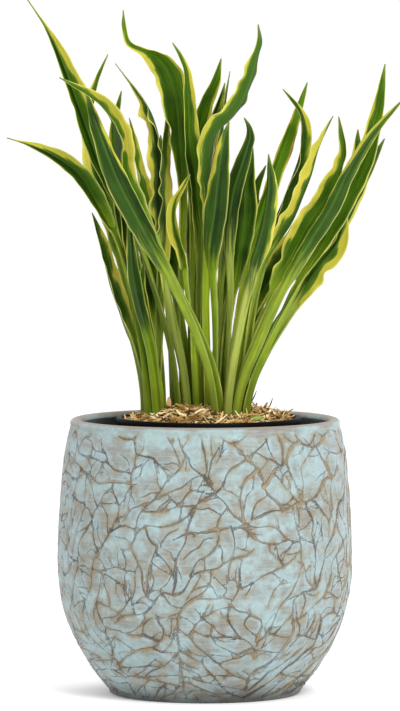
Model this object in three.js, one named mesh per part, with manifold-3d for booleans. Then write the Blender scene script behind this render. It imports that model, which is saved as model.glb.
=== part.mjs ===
// Potted hosta: three crowns of narrow, yellow-edged leaves rooted in a black nursery pot
// that stands inside a glazed ceramic pot. Millimetres, +Z up, origin at the centre of the
// ceramic pot's flat foot. The front of the plant faces -Y.

import * as THREE from 'three';
import { mergeVertices } from 'three/addons/utils/BufferGeometryUtils.js';
import Module from 'manifold-3d';

const wasm = await Module();
wasm.setup();

// Ceramic pot
const potHeight = 221;
const potDiameter = 238;
const rimDiameter = 215;
const footDiameter = 150;
const potWall = 9;
const potFloor = 10;
const potSides = 56;

// Nursery pot
const liningGap = 0.3;
const nurseryRimDiameter = 148;
const nurseryFootDiameter = 112;
const nurseryWall = 2;
const nurseryLip = 5;
const nurseryRimZ = 222;
const nurseryX = 3;
const nurserySides = 32;
const drainHoles = 6;
const drainDiameter = 9;

// Soil and mulch
const soilZ = 213;
const mulchEdgeZ = 217.5;
const mulchHeap = 10;
const chipCount = 20;
const stemClearance = 0.35;
const goldenAngle = Math.PI * (3 - Math.sqrt(5));

// Leaves
const holeTopZ = 245;
const stalkHalfWidth = 4.1;
const stalkThickness = 3;
const stalkEdge = 1.4;
const stalkFold = 38;
const bladeThickness = 1.5;
const bladeEdge = 0.95;
const tipHalfWidth = 0.5;
const stalkSteps = 5;
const bladeSteps = 14;
const plantTopZ = 558;
const fan = 1.2;

// The middle of each crown, which the channels of its leaf stalks face.
const crowns = {
  left: [-42, 1],
  center: [-7, 14],
  front: [21, -17],
};

// Each leaf: its crown, the points of its midrib from root to tip, the share of its length that
// is stalk, the blade's width, where along the blade it is widest, its fold in degrees, the
// compass angle that its upper side faces, and the height and length of its edge waves. Some
// blades also end in a narrow tail, given as a share of the blade.
const leaves = {
  leaf_tall_left: {
    crown: 'center',
    rib: [[-20, 8, 200], [-24, 7, 258], [-38, 3, 317], [-59, -2, 377], [-80, -8, 421],
      [-99, -13, 474], [-121, -17, 525], [-142, -20, 558]],
    stalk: 0.44, width: 24, belly: 0.42, fold: 30, face: -65, wave: 1.2, waveLength: 70, tail: 0.12,
  },
  leaf_front_left: {
    crown: 'front',
    rib: [[8, -31, 200], [7, -32, 240], [-4, -36, 281], [-26, -43, 331], [-50, -49, 376],
      [-71, -50, 418], [-86, -44, 459], [-94, -36, 484]],
    stalk: 0.46, width: 23, belly: 0.45, fold: 20, face: 100, wave: 1, waveLength: 60,
  },
  leaf_arched_left: {
    crown: 'front',
    rib: [[13, -23, 200], [12, -25, 244], [-4, -27, 291], [-26, -28, 338], [-46, -29, 378],
      [-61, -32, 418], [-65, -41, 452], [-80, -49, 475], [-114, -53, 495]],
    stalk: 0.46, width: 22, belly: 0.4, fold: 38, face: -35, wave: 1.2, waveLength: 50,
  },
  leaf_behind_arch: {
    crown: 'center',
    rib: [[-25, 19, 200], [-26, 20, 240], [-29, 23, 300], [-37, 27, 354], [-46, 28, 390],
      [-54, 27, 425], [-61, 25, 460]],
    stalk: 0.45, width: 15, belly: 0.45, fold: 30, face: -50, wave: 1.5, waveLength: 50,
  },
  leaf_wavy_left: {
    crown: 'center',
    rib: [[-14, 2, 200], [-15, 2, 240], [-29, -2, 316], [-36, -4, 357], [-38, -8, 405],
      [-40, -12, 444], [-50, -16, 475], [-71, -20, 505]],
    stalk: 0.45, width: 18, belly: 0.45, fold: 30, face: -140, wave: 2, waveLength: 44, tail: 0.1,
  },
  leaf_curled_top: {
    crown: 'center',
    rib: [[-18, 18, 200], [-18, 18, 240], [-20, 16, 316], [-18, 14, 392], [-20, 11, 437],
      [-23, 8, 472], [-29, 5, 495], [-39, 2, 508], [-51, -2, 515], [-60, -4, 520],
      [-64, -5, 532], [-65, -5, 547]],
    stalk: 0.5, width: 26, belly: 0.7, fold: 14, face: -105, wave: 1.6, waveLength: 50, tail: 0.2,
  },
  leaf_small_curl: {
    crown: 'center',
    rib: [[-6, 3, 200], [-6, 3, 240], [-10, 0, 300], [-18, -7, 350], [-26, -14, 376],
      [-25, -16, 393], [-18, -18, 406], [-12, -20, 417]],
    stalk: 0.6, width: 11, belly: 0.4, fold: 30, face: -110, wave: 0.8, waveLength: 40,
  },
  leaf_center_tall: {
    crown: 'center',
    rib: [[-2, 13, 200], [-2, 12, 240], [-4, 9, 316], [-3, 7, 372], [-6, 3, 409],
      [-11, -1, 445], [-13, -3, 481], [-16, -3, 503], [-26, -3, 521]],
    stalk: 0.45, width: 18, belly: 0.35, fold: 26, face: -65, wave: 1.4, waveLength: 48,
  },
  leaf_center_back: {
    crown: 'center',
    rib: [[-10, 13, 200], [-11, 15, 240], [-11, 19, 330], [-9, 22, 396], [-6, 20, 436],
      [-1, 18, 465], [8, 15, 488], [13, 14, 508]],
    stalk: 0.55, width: 17, belly: 0.5, fold: 26, face: -85, wave: 1.8, waveLength: 42,
  },
  leaf_arching_right: {
    crown: 'center',
    rib: [[3, 3, 200], [3, 3, 240], [1, -1, 317], [3, -8, 385], [1, -11, 430], [6, -13, 452],
      [22, -15, 468], [33, -17, 489], [41, -18, 515], [44, -18, 527], [42, -18, 536]],
    stalk: 0.46, width: 18, belly: 0.5, fold: 24, face: 130, wave: 1.2, waveLength: 50,
  },
  leaf_center_slim: {
    crown: 'center',
    rib: [[-1, 22, 200], [-1, 22, 240], [1, 26, 340], [3, 27, 420], [7, 26, 455],
      [13, 24, 475], [16, 24, 488]],
    stalk: 0.55, width: 13, belly: 0.5, fold: 30, face: -80, wave: 1, waveLength: 46,
  },
  leaf_center_right: {
    crown: 'center',
    rib: [[6, 13, 200], [7, 13, 240], [12, 12, 316], [14, 9, 360], [11, 6, 405],
      [10, 6, 432], [14, 8, 465], [20, 10, 498]],
    stalk: 0.42, width: 14, belly: 0.4, fold: 30, face: 190, wave: 1.2, waveLength: 48,
  },
  leaf_front_center: {
    crown: 'front',
    rib: [[8, -14, 200], [9, -14, 240], [8, -18, 300], [5, -23, 355], [9, -26, 395],
      [13, -26, 430], [16, -25, 448], [19, -23, 459]],
    stalk: 0.52, width: 21, belly: 0.45, fold: 18, face: 80, wave: 1, waveLength: 54,
  },
  leaf_low_left: {
    crown: 'left',
    rib: [[-46, -10, 200], [-46, -9, 248], [-56, -9, 307], [-67, -13, 353], [-82, -17, 390],
      [-102, -20, 420], [-129, -21, 437], [-157, -21, 446]],
    stalk: 0.58, width: 17, belly: 0.42, fold: 20, face: -60, wave: 1, waveLength: 50, tail: 0.1,
  },
  leaf_left_behind: {
    crown: 'left',
    rib: [[-46, 9, 200], [-47, 9, 240], [-54, 11, 290], [-66, 14, 340], [-78, 18, 388],
      [-91, 21, 430], [-94, 23, 460], [-88, 25, 487], [-78, 25, 511]],
    stalk: 0.46, width: 18, belly: 0.35, fold: 28, face: -130, wave: 1.6, waveLength: 44,
  },
  leaf_left_slim: {
    crown: 'left',
    rib: [[-42, -2, 200], [-43, -2, 240], [-54, 0, 308], [-63, 3, 360], [-65, 8, 395],
      [-71, 12, 430], [-73, 14, 452], [-67, 15, 482]],
    stalk: 0.5, width: 13, belly: 0.5, fold: 30, face: -80, wave: 1.6, waveLength: 42,
  },
  leaf_left_outer: {
    crown: 'left',
    rib: [[-50, -1, 200], [-49, -1, 236], [-53, 0, 264], [-63, 0, 301], [-72, -3, 328],
      [-80, -7, 356], [-90, -12, 386]],
    stalk: 0.42, width: 16, belly: 0.42, fold: 26, face: -40, wave: 0.8, waveLength: 60,
  },
  leaf_left_inner: {
    crown: 'left',
    rib: [[-37, -11, 200], [-39, -12, 240], [-44, -16, 280], [-52, -20, 313],
      [-57, -22, 338], [-59, -23, 362], [-61, -24, 384]],
    stalk: 0.4, width: 12, belly: 0.45, fold: 22, face: 80, wave: 0.8, waveLength: 60,
  },
  leaf_left_small: {
    crown: 'left',
    rib: [[-34, -3, 200], [-35, -4, 240], [-43, -8, 284], [-49, -13, 309], [-51, -14, 325],
      [-49, -15, 347]],
    stalk: 0.5, width: 11, belly: 0.5, fold: 26, face: -60, wave: 0.6, waveLength: 40,
  },
  leaf_left_upright: {
    crown: 'left',
    rib: [[-37, 6, 200], [-37, 6, 240], [-36, 12, 310], [-33, 17, 365], [-32, 20, 430],
      [-30, 22, 473]],
    stalk: 0.4, width: 15, belly: 0.5, fold: 28, face: -40, wave: 1, waveLength: 50,
  },
  leaf_arched_right: {
    crown: 'front',
    rib: [[17, -14, 200], [17, -14, 240], [20, -15, 310], [19, -15, 365], [22, -15, 400],
      [31, -15, 430], [36, -17, 450], [31, -19, 462]],
    stalk: 0.55, width: 16, belly: 0.45, fold: 22, face: 90, wave: 1.6, waveLength: 44,
  },
  leaf_broad_right: {
    crown: 'front',
    rib: [[12, -5, 200], [13, -5, 240], [18, -3, 300], [27, -1, 350], [32, 0, 382],
      [33, 0, 408], [38, -2, 438]],
    stalk: 0.5, width: 21, belly: 0.5, fold: 16, face: -75, wave: 1, waveLength: 50,
  },
  leaf_front_right: {
    crown: 'front',
    rib: [[16, -31, 200], [18, -31, 240], [28, -33, 300], [38, -36, 342], [47, -37, 370],
      [52, -37, 402], [50, -37, 434]],
    stalk: 0.5, width: 17, belly: 0.5, fold: 34, face: 60, wave: 1, waveLength: 50,
  },
  leaf_upright_right: {
    crown: 'front',
    rib: [[21, -4, 200], [21, -3, 240], [28, 3, 308], [40, 9, 366], [53, 12, 406],
      [66, 12, 442], [77, 12, 474], [82, 12, 489]],
    stalk: 0.5, width: 15, belly: 0.5, fold: 28, face: -70, wave: 1, waveLength: 50,
  },
  leaf_twisted_right: {
    crown: 'center',
    rib: [[8, 22, 200], [9, 22, 240], [18, 24, 308], [32, 25, 350], [42, 25, 378],
      [39, 25, 397], [49, 22, 422]],
    stalk: 0.55, width: 13, belly: 0.5, fold: 26, face: -90, wave: 1.8, waveLength: 40,
  },
  leaf_crossing_right: {
    crown: 'front',
    rib: [[32, -9, 200], [33, -8, 240], [38, -1, 308], [48, 3, 352], [65, 3, 392],
      [77, 3, 422], [80, 1, 446], [77, 0, 464], [62, 0, 484]],
    stalk: 0.5, width: 16, belly: 0.45, fold: 28, face: -40, wave: 1.6, waveLength: 44,
  },
  leaf_narrow_right: {
    crown: 'front',
    rib: [[25, -12, 200], [26, -12, 240], [35, -10, 305], [47, -8, 350], [64, -8, 380],
      [78, -8, 410], [88, -8, 437], [102, -8, 463]],
    stalk: 0.5, width: 15, belly: 0.4, fold: 36, face: 165, wave: 1.2, waveLength: 46,
  },
  leaf_right_upper: {
    crown: 'front',
    rib: [[24, -21, 200], [26, -21, 240], [41, -21, 288], [58, -20, 332], [76, -20, 371],
      [96, -20, 403], [109, -20, 432], [106, -20, 463]],
    stalk: 0.44, width: 19, belly: 0.35, fold: 26, face: -120, wave: 1.8, waveLength: 42,
  },
  leaf_right_long: {
    crown: 'front',
    rib: [[24, -30, 200], [26, -30, 240], [41, -33, 278], [60, -35, 323], [79, -37, 357],
      [99, -39, 389], [116, -41, 425], [136, -43, 456], [156, -44, 478]],
    stalk: 0.42, width: 16, belly: 0.38, fold: 26, face: 75, wave: 1.2, waveLength: 50,
  },
  leaf_right_tall: {
    crown: 'front',
    rib: [[31, -25, 200], [34, -25, 240], [52, -25, 284], [73, -25, 328], [91, -26, 360],
      [110, -25, 395], [126, -26, 430], [136, -28, 468], [142, -28, 505]],
    stalk: 0.44, width: 20, belly: 0.42, fold: 24, face: -80, wave: 1, waveLength: 60,
  },
  leaf_right_low: {
    crown: 'front',
    rib: [[33, -17, 200], [35, -16, 242], [53, -14, 280], [73, -12, 314], [91, -12, 341],
      [106, -12, 360], [113, -12, 386]],
    stalk: 0.56, width: 18, belly: 0.5, fold: 24, face: -60, wave: 1.2, waveLength: 46,
  },
  leaf_right_behind: {
    crown: 'front',
    rib: [[20, 5, 200], [22, 6, 240], [37, 7, 282], [58, 4, 320], [84, 0, 355],
      [106, -2, 390], [120, -2, 425], [122, -2, 452]],
    stalk: 0.46, width: 19, belly: 0.5, fold: 22, face: -90, wave: 1.2, waveLength: 48,
  },
  leaf_right_back: {
    crown: 'front',
    rib: [[29, 7, 200], [31, 8, 240], [49, 12, 282], [71, 14, 320], [93, 14, 352],
      [113, 13, 384], [130, 12, 418], [144, 12, 444]],
    stalk: 0.46, width: 17, belly: 0.45, fold: 26, face: 90, wave: 1.4, waveLength: 46,
  },
  leaf_back_left: {
    crown: 'left',
    rib: [[-40, 15, 200], [-41, 17, 240], [-50, 30, 300], [-62, 41, 355], [-72, 50, 398],
      [-80, 56, 420]],
    stalk: 0.45, width: 18, belly: 0.45, fold: 26, face: -75, wave: 1.4, waveLength: 48,
  },
  leaf_back_far_left: {
    crown: 'left',
    rib: [[-33, 16, 200], [-34, 20, 240], [-40, 38, 300], [-46, 54, 350], [-50, 66, 380],
      [-52, 74, 390]],
    stalk: 0.45, width: 19, belly: 0.4, fold: 28, face: -85, wave: 1.4, waveLength: 46,
  },
  leaf_back_center_left: {
    crown: 'center',
    rib: [[-10, 23, 200], [-12, 25, 240], [-22, 36, 310], [-30, 43, 370], [-34, 47, 415],
      [-36, 50, 445]],
    stalk: 0.45, width: 18, belly: 0.45, fold: 26, face: -90, wave: 1.2, waveLength: 50,
  },
  leaf_back_center: {
    crown: 'center',
    rib: [[-5, 31, 200], [-5, 33, 240], [-6, 46, 310], [-8, 58, 365], [-10, 67, 398],
      [-12, 74, 408]],
    stalk: 0.45, width: 20, belly: 0.4, fold: 28, face: -90, wave: 1.6, waveLength: 44,
  },
  leaf_back_center_right: {
    crown: 'center',
    rib: [[5, 31, 200], [7, 33, 240], [14, 44, 310], [22, 52, 365], [28, 58, 400],
      [30, 61, 420]],
    stalk: 0.45, width: 18, belly: 0.45, fold: 26, face: -95, wave: 1.2, waveLength: 50,
  },
  leaf_back_right: {
    crown: 'front',
    rib: [[14, 14, 200], [16, 17, 240], [36, 34, 300], [60, 48, 345], [82, 57, 376],
      [100, 63, 390]],
    stalk: 0.45, width: 19, belly: 0.42, fold: 28, face: -110, wave: 1.4, waveLength: 46,
  },
  leaf_back_low_right: {
    crown: 'front',
    rib: [[17, 23, 200], [19, 27, 240], [34, 50, 290], [50, 66, 325], [62, 77, 343],
      [70, 85, 346]],
    stalk: 0.45, width: 17, belly: 0.42, fold: 28, face: -100, wave: 1.2, waveLength: 46,
  },
};

// Materials
const ceramic = new THREE.MeshStandardMaterial({ color: '#9db3b6', roughness: 0.7, metalness: 0 });
const plastic = new THREE.MeshStandardMaterial({ color: '#161615', roughness: 0.45, metalness: 0 });
const earth = new THREE.MeshStandardMaterial({ color: '#2c2119', roughness: 1, metalness: 0 });
const fibre = new THREE.MeshStandardMaterial({ color: '#c79f6c', roughness: 0.9, metalness: 0 });
const foliage = new THREE.MeshStandardMaterial({ color: '#46702a', roughness: 0.5, metalness: 0 });

const radians = THREE.MathUtils.degToRad;
const smooth = THREE.MathUtils.smoothstep;

// A closed three.js geometry as a manifold solid.
function toSolid(geometry) {
  const plain = geometry.clone();
  for (const name of Object.keys(plain.attributes)) {
    if (name !== 'position') plain.deleteAttribute(name);
  }
  const merged = mergeVertices(plain, 1e-4);
  return new wasm.Manifold(new wasm.Mesh({
    numProp: 3,
    vertProperties: new Float32Array(merged.attributes.position.array),
    triVerts: new Uint32Array(merged.index.array),
  }));
}

// A manifold solid as a three.js geometry.
function toGeometry(solid) {
  const mesh = solid.getMesh();
  const geometry = new THREE.BufferGeometry();
  geometry.setAttribute('position', new THREE.BufferAttribute(mesh.vertProperties, mesh.numProp));
  geometry.setIndex(new THREE.BufferAttribute(mesh.triVerts, 1));
  geometry.computeVertexNormals();
  return geometry;
}

// The biggest of the pieces that a cut leaves.
function mainPiece(solid) {
  return solid.decompose().reduce((a, b) => (a.volume() > b.volume() ? a : b));
}

// A profile of [radius, z] points turned about the vertical axis.
function turned(profile, sides) {
  const points = profile.map(([radius, z]) => new THREE.Vector2(radius, z));
  const geometry = new THREE.LatheGeometry(points, sides);
  geometry.rotateX(Math.PI / 2);
  return geometry;
}

// A repeatable stream of numbers from 0 to 1.
function seeded(seed) {
  let state = seed;
  return () => {
    state = (state * 1664525 + 1013904223) % 4294967296;
    return state / 4294967296;
  };
}

// Ceramic pot: swelling sides, a rounded lip and a hollow that follows the outside.
function makeCeramicPot() {
  const foot = footDiameter / 2;
  const belly = potDiameter / 2;
  const rim = rimDiameter / 2;
  const side = new THREE.SplineCurve([
    new THREE.Vector2(foot + 3, 3),
    new THREE.Vector2(foot + 17, 21),
    new THREE.Vector2(belly - 12, 47),
    new THREE.Vector2(belly - 2, 80),
    new THREE.Vector2(belly, 115),
    new THREE.Vector2(belly - 2, 156),
    new THREE.Vector2(belly - 5.5, 192),
    new THREE.Vector2(rim, potHeight - potWall / 2),
  ]);
  const outside = side.getPoints(10).map((p) => [p.x, p.y]);
  const lip = [];
  for (let i = 1; i < 5; i += 1) {
    const angle = (Math.PI * i) / 5;
    lip.push([
      rim - (potWall / 2) * (1 - Math.cos(angle)),
      potHeight - (potWall / 2) * (1 - Math.sin(angle)),
    ]);
  }
  const hollow = side.getPoints(6).map((p) => [p.x - potWall, p.y]).slice(1);
  const floor = [[foot + 2, potFloor], [0, potFloor]];
  const profile = [[0, 0], [foot, 0], ...outside, ...lip, ...hollow.reverse(), ...floor];
  return turned(profile, potSides);
}

// Nursery pot: a thin tapered tub with a turned-out lip and drain holes in its floor.
const nurseryFootZ = potFloor + liningGap;
function nurseryRadius(z) {
  const share = (z - nurseryFootZ) / (nurseryRimZ - nurseryFootZ);
  const top = nurseryRimDiameter / 2 - nurseryLip / 2;
  return THREE.MathUtils.lerp(nurseryFootDiameter / 2, top, share);
}

function makeNurseryPot() {
  const underLip = nurseryRimZ - nurseryLip;
  const floorZ = nurseryFootZ + nurseryWall;
  const profile = [
    [0, nurseryFootZ],
    [nurseryRadius(nurseryFootZ), nurseryFootZ],
    [nurseryRadius(underLip), underLip],
    [nurseryRimDiameter / 2, underLip],
    [nurseryRimDiameter / 2, nurseryRimZ - 0.8],
    [nurseryRimDiameter / 2 - 0.8, nurseryRimZ],
    [nurseryRadius(nurseryRimZ) - nurseryWall + 0.6, nurseryRimZ],
    [nurseryRadius(nurseryRimZ) - nurseryWall, nurseryRimZ - 0.6],
    [nurseryRadius(floorZ) - nurseryWall, floorZ],
    [0, floorZ],
  ];
  let tub = toSolid(turned(profile, nurserySides));
  const drain = new THREE.CylinderGeometry(drainDiameter / 2, drainDiameter / 2, 4 * nurseryWall, 12);
  drain.rotateX(Math.PI / 2);
  for (let i = 0; i < drainHoles; i += 1) {
    const angle = (2 * Math.PI * i) / drainHoles;
    const hole = drain.clone();
    const reach = nurseryFootDiameter / 2 - 2 * drainDiameter;
    hole.translate(reach * Math.cos(angle), reach * Math.sin(angle), nurseryFootZ);
    tub = tub.subtract(toSolid(hole));
  }
  return toGeometry(tub);
}

// How wide a leaf's blade is at a share of the blade's length, as a share of its full width.
function bladeShape({ belly, tail = 0 }, share) {
  const bend = Math.log(0.5) / Math.log(belly);
  const wide = Math.min(1, share / (1 - tail));
  return Math.max(0, Math.sin(Math.PI * wide ** bend)) ** 0.9;
}

// A point of a rib, moved out to the front or the back: the crowns fan open as they rise.
function fanned([x, y, z]) {
  const rise = Math.max(0, (z - soilZ) / (plantTopZ - soilZ));
  return new THREE.Vector3(x, y * (1 + fan * rise ** 1.5), z);
}

// The places along a leaf where its section is drawn, as shares of its length.
function leafStations(leaf) {
  const stations = [];
  for (let i = 0; i < stalkSteps; i += 1) stations.push((leaf.stalk * i) / stalkSteps);
  for (let i = 0; i <= bladeSteps; i += 1) {
    stations.push(THREE.MathUtils.lerp(1, leaf.stalk, 1 - i / bladeSteps));
  }
  return stations;
}

// Midrib frames: the rib's point, its direction, the leaf's upper side and its right side.
function leafFrames(leaf, stations) {
  const curve = new THREE.CatmullRomCurve3(leaf.rib.map(fanned));
  const [x, y] = leaf.rib[0];
  const [crownX, crownY] = crowns[leaf.crown];
  let normal = new THREE.Vector3(crownX - x, crownY - y, 0);
  const frames = stations.map((share) => ({
    point: curve.getPointAt(share),
    along: curve.getTangentAt(share),
  }));
  for (const frame of frames) {
    normal = normal.clone().addScaledVector(frame.along, -normal.dot(frame.along)).normalize();
    frame.up = normal;
  }
  const widest = leaf.stalk + (1 - leaf.stalk) * leaf.belly;
  const middle = frames.reduce((a, b, i) => (stations[i] <= widest ? b : a));
  const angle = radians(leaf.face);
  const wanted = new THREE.Vector3(Math.cos(angle), Math.sin(angle), 0);
  wanted.addScaledVector(middle.along, -wanted.dot(middle.along)).normalize();
  const across = new THREE.Vector3().crossVectors(middle.up, wanted);
  const turn = Math.atan2(across.dot(middle.along), middle.up.dot(wanted));
  frames.forEach((frame, i) => {
    frame.up = frame.up.clone();
    frame.up.applyAxisAngle(frame.along, turn * smooth(stations[i], 0.12, widest));
    frame.side = new THREE.Vector3().crossVectors(frame.along, frame.up);
  });
  return frames;
}

// The six corners of the leaf's section: left, rib and right above, then right, rib, left below.
function leafSection(leaf, share, frame, grow) {
  const blade = Math.max(0, (share - leaf.stalk) / (1 - leaf.stalk));
  const shape = bladeShape(leaf, blade);
  const stalkWidth = stalkHalfWidth * (1 - blade) + tipHalfWidth * blade;
  const half = THREE.MathUtils.lerp(stalkWidth, Math.max(leaf.width / 2, stalkWidth), shape) + grow;
  const flat = smooth(blade, 0, 0.3);
  const fold = radians(THREE.MathUtils.lerp(stalkFold, leaf.fold, flat));
  const thick = THREE.MathUtils.lerp(stalkThickness, bladeThickness, flat) * (1 - 0.4 * blade) + 2 * grow;
  const thin = THREE.MathUtils.lerp(stalkEdge, bladeEdge, flat) + 2 * grow;
  const phase = (2 * Math.PI * share * ribLength(leaf)) / leaf.waveLength;
  const waves = [leaf.wave * shape * Math.sin(phase), leaf.wave * shape * Math.sin(phase + 2)];
  const corner = (across, height) => frame.point.clone()
    .addScaledVector(frame.side, across)
    .addScaledVector(frame.up, height);
  const reach = half * Math.cos(fold);
  const rise = half * Math.sin(fold);
  const left = rise / 2 + waves[0];
  const rib = -rise / 2;
  const right = rise / 2 + waves[1];
  return [
    corner(-reach, left + thin / 2),
    corner(0, rib + thick / 2),
    corner(reach, right + thin / 2),
    corner(reach, right - thin / 2),
    corner(0, rib - thick / 2),
    corner(-reach, left - thin / 2),
  ];
}

function ribLength(leaf) {
  let length = 0;
  for (let i = 1; i < leaf.rib.length; i += 1) {
    length += Math.hypot(...leaf.rib[i].map((value, axis) => value - leaf.rib[i - 1][axis]));
  }
  return length;
}

// A closed skin over sections of six corners, its triangles alike on the upper and lower face.
function skinned(sections) {
  const positions = sections.flat().flatMap((p) => [p.x, p.y, p.z]);
  const index = [];
  const at = (ring, corner) => ring * 6 + corner;
  const quad = (a, b, c, d) => index.push(a, b, c, a, c, d);
  for (let i = 0; i + 1 < sections.length; i += 1) {
    quad(at(i, 0), at(i, 1), at(i + 1, 1), at(i + 1, 0));
    quad(at(i, 1), at(i, 2), at(i + 1, 2), at(i + 1, 1));
    quad(at(i, 2), at(i, 3), at(i + 1, 3), at(i + 1, 2));
    quad(at(i + 1, 4), at(i + 1, 3), at(i, 3), at(i, 4));
    quad(at(i + 1, 5), at(i + 1, 4), at(i, 4), at(i, 5));
    quad(at(i, 5), at(i, 0), at(i + 1, 0), at(i + 1, 5));
  }
  const end = sections.length - 1;
  for (const [a, b, c] of [[0, 4, 1], [0, 5, 4], [1, 3, 2], [1, 4, 3]]) {
    index.push(at(0, a), at(0, b), at(0, c));
    index.push(at(end, a), at(end, c), at(end, b));
  }
  const geometry = new THREE.BufferGeometry();
  geometry.setAttribute('position', new THREE.Float32BufferAttribute(positions, 3));
  geometry.setIndex(index);
  geometry.computeVertexNormals();
  return geometry;
}

function makeLeaf(leaf) {
  const stations = leafStations(leaf);
  const frames = leafFrames(leaf, stations);
  return skinned(frames.map((frame, i) => leafSection(leaf, stations[i], frame, 0)));
}

// The hole that a leaf's stalk needs in the soil and the mulch.
function makeStemHole(leaf) {
  const stations = leafStations(leaf);
  const frames = leafFrames(leaf, stations);
  const sections = [];
  for (let i = 0; i < frames.length; i += 1) {
    const section = leafSection(leaf, stations[i], frames[i], stemClearance);
    if (i === 0) {
      for (const corner of section) corner.addScaledVector(frames[0].along, -stemClearance);
    }
    sections.push(section);
    if (frames[i].point.z > holeTopZ) break;
  }
  return toSolid(skinned(sections));
}

// Soil: a plug that fills the nursery pot, with a hole for every stalk.
function makeSoil(holes) {
  const bottom = nurseryFootZ + nurseryWall + liningGap;
  const inner = (z) => nurseryRadius(z) - nurseryWall - liningGap;
  const profile = [[0, bottom], [inner(bottom), bottom], [inner(soilZ), soilZ], [0, soilZ]];
  const plug = turned(profile, nurserySides);
  plug.translate(nurseryX, 0, 0);
  return toGeometry(mainPiece(toSolid(plug).subtract(holes)));
}

// How high the mulch lies at a distance and a direction from the pot's axis.
function mulchTop(radius, angle) {
  const full = nurseryRadius(soilZ);
  const heap = mulchHeap * (1 - smooth(radius / full, 0.35, 1));
  const lumps = Math.sin(3 * angle + radius / 9) + Math.sin(5 * angle - radius / 6);
  return mulchEdgeZ + heap + 0.9 * lumps;
}

// Mulch: a lumpy layer of wood fibre with chips half sunk into it.
function makeMulch(holes) {
  const bottom = soilZ + liningGap;
  const rings = 4;
  const reach = nurseryRadius(soilZ) - nurseryWall - liningGap;
  const layer = turned([
    [0, bottom],
    [reach, bottom],
    ...Array.from({ length: rings }, (_, i) => [reach * (1 - i / rings), mulchEdgeZ]),
    [0, mulchEdgeZ],
  ], nurserySides / 2);
  const places = layer.attributes.position;
  for (let i = 0; i < places.count; i += 1) {
    if (places.getZ(i) > bottom + 1) {
      const x = places.getX(i);
      const y = places.getY(i);
      places.setZ(i, mulchTop(Math.hypot(x, y), Math.atan2(y, x)));
    }
  }
  let heap = toSolid(layer);
  const random = seeded(7);
  for (let i = 0; i < chipCount; i += 1) {
    const radius = (reach - 10) * Math.sqrt((i + 6) / (chipCount + 5));
    const angle = goldenAngle * i;
    const chip = new THREE.BoxGeometry(11 + 9 * random(), 2 + 2 * random(), 1.4 + random());
    chip.rotateY(radians(14) * (2 * random() - 1));
    chip.rotateZ(Math.PI * random());
    chip.translate(radius * Math.cos(angle), radius * Math.sin(angle), mulchTop(radius, angle) + 0.3);
    heap = heap.add(toSolid(chip));
  }
  heap = heap.translate([nurseryX, 0, 0]);
  return toGeometry(mainPiece(heap.subtract(holes)));
}

const group = new THREE.Group();

function place(name, geometry, material) {
  const mesh = new THREE.Mesh(geometry, material);
  mesh.name = name;
  group.add(mesh);
  return mesh;
}

const stemHoles = wasm.Manifold.union(Object.values(leaves).map(makeStemHole));
place('ceramic_pot', makeCeramicPot(), ceramic);
place('nursery_pot', makeNurseryPot(), plastic).position.x = nurseryX;
place('soil', makeSoil(stemHoles), earth);
place('mulch', makeMulch(stemHoles), fibre);
for (const [name, leaf] of Object.entries(leaves)) {
  place(name, makeLeaf(leaf), foliage.clone());
}

export default group;
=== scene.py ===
# Potted hosta: carved pot under rubbed engobe, nursery pot, fibre mulch and yellow-edged leaves.
import random
from math import atan2, cos, pi, radians, sin, sqrt, tan

import bmesh
import bpy
import numpy as np
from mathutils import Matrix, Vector, noise
from mathutils.bvhtree import BVHTree
from mathutils.kdtree import KDTree


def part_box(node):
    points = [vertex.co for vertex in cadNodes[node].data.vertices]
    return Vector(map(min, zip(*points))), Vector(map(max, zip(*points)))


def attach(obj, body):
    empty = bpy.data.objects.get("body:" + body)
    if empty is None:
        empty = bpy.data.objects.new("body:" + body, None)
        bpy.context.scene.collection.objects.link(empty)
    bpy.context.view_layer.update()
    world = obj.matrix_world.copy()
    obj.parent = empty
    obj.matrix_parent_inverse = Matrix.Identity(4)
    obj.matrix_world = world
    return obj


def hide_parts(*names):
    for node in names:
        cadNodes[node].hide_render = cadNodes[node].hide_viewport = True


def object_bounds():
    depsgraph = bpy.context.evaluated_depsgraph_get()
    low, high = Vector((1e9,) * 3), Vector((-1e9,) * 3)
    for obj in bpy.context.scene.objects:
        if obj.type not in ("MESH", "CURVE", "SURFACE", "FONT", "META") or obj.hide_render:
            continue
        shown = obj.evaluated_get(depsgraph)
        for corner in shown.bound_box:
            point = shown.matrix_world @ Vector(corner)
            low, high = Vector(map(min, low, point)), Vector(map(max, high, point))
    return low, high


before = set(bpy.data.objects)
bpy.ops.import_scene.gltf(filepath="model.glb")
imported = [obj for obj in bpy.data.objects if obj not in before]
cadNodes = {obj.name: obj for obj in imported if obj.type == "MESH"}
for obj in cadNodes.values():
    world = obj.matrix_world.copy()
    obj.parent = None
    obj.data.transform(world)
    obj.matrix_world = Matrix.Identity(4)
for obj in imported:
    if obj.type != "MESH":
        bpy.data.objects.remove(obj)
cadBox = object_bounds()
mm = 0.001  # one millimetre in Blender's metres


def linear(hexColour):
    # sRGB hex to the linear colour that a shader socket takes
    channels = [int(hexColour[i:i + 2], 16) / 255 for i in (1, 3, 5)]
    return [c / 12.92 if c <= 0.04045 else ((c + 0.055) / 1.055) ** 2.4 for c in channels] + [1]


def addNode(tree, kind, inputs=None, **settings):
    # kind is a shader node's type; inputs take a value, a socket, or a node, which gives its first output
    node = tree.nodes.new("ShaderNode" + kind)
    for name, value in settings.items():
        setattr(node, name, value)
    for name, value in (inputs or {}).items():
        if isinstance(value, bpy.types.Node):
            value = value.outputs[0]
        if isinstance(value, bpy.types.NodeSocket):
            tree.links.new(value, node.inputs[name])
        else:
            node.inputs[name].default_value = value
    return node


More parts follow.
